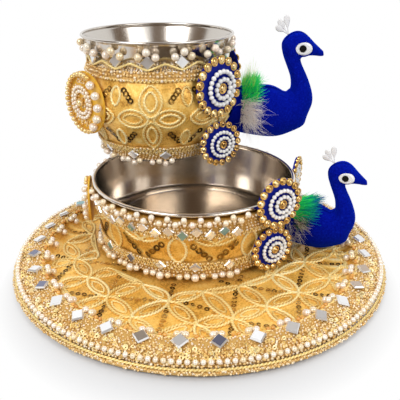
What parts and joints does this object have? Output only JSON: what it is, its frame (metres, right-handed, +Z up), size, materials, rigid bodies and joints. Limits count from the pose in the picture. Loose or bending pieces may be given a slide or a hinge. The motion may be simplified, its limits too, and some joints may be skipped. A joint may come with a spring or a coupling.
{
  "type": "puja thali set",
  "caption": "Round gold-dressed ritual plate carrying a steel bowl and a steel pot, each wrapped in embroidered tissue and trimmed with pearls, mirrors, blue rosettes and a velvet peacock.",
  "frame": {"origin": "centre of the thali on the table plane", "axes": "+Z up; the viewer of the picture stands on the -Y side; the peacocks face +X"},
  "size_m": [0.2998, 0.312, 0.1825],
  "materials": {
    "steel": "polished inside, fine turned lines",
    "felt": "pressed felt",
    "piping_cord": "satin covered cord",
    "gold_tissue": "satin metallic tissue, creased",
    "bead_lace": "metallic thread with seed beads",
    "pearl": "pearlescent",
    "mirror_glass": "silvered, bevelled",
    "amber_bead": "polished",
    "gold_bead": "pearlescent gold",
    "blue_satin": "satin",
    "cupped_stone": "foil-backed in a gold cup",
    "blue_velvet": "flocked velvet",
    "eye_white": "gloss",
    "pupil_black": "gloss",
    "crest_white": "feather",
    "green_feather": "feather",
    "buff_feather": "feather"
  },
  "bodies": {
    "thali": {"thali_base_pad": "felt", "thali_dish": "steel", "thali_edge_pearls": "pearl", "thali_edge_piping": "piping_cord", "thali_floor_cloth": "gold_tissue", "thali_ridge_beads": "amber_bead", "thali_ridge_mirrors": "mirror_glass", "thali_ridge_pearls": "pearl", "thali_rim_lace": "bead_lace"},
    "bowl": {"bowl_base_braid": "bead_lace", "bowl_base_mirrors": "mirror_glass", "bowl_base_pearls": "pearl", "bowl_medallion_beads": "gold_bead", "bowl_medallion_disc": "bead_lace", "bowl_medallion_pearls": "pearl", "bowl_peacock_body": "blue_velvet", "bowl_peacock_crest": "crest_white", "bowl_peacock_eyes": "eye_white", "bowl_peacock_pupils": "pupil_black", "bowl_peacock_side_plumes": "buff_feather", "bowl_peacock_top_plume": "green_feather", "bowl_rim_braid": "bead_lace", "bowl_rim_mirrors": "mirror_glass", "bowl_rim_pearls": "pearl", "bowl_rosette_discs": "blue_satin", "bowl_rosette_hearts": "cupped_stone", "bowl_rosette_pearls": "pearl", "bowl_rosette_stones": "cupped_stone", "bowl_vessel": "steel", "bowl_wall_cloth": "gold_tissue"},
    "pot": {"pot_base_braid": "bead_lace", "pot_base_mirrors": "mirror_glass", "pot_base_pearls": "pearl", "pot_body_cloth": "gold_tissue", "pot_medallion_beads": "gold_bead", "pot_medallion_disc": "bead_lace", "pot_medallion_pearls": "pearl", "pot_neck_mirrors": "mirror_glass", "pot_neck_pearls": "pearl", "pot_peacock_body": "blue_velvet", "pot_peacock_crest": "crest_white", "pot_peacock_eyes": "eye_white", "pot_peacock_pupils": "pupil_black", "pot_peacock_side_plumes": "buff_feather", "pot_peacock_top_plume": "green_feather", "pot_rosette_discs": "blue_satin", "pot_rosette_hearts": "cupped_stone", "pot_rosette_pearls": "pearl", "pot_rosette_stones": "cupped_stone", "pot_shoulder_braid": "bead_lace", "pot_vessel": "steel"}
  },
  "joints": [
    {"name": "bowl_lift", "type": "slide", "parent": "thali", "child": "bowl", "axis": [0, 0, 1], "range_m": [0, 0.15]},
    {"name": "pot_lift", "type": "slide", "parent": "bowl", "child": "pot", "axis": [0, 0, 1], "range_m": [0, 0.15]}
  ]
}
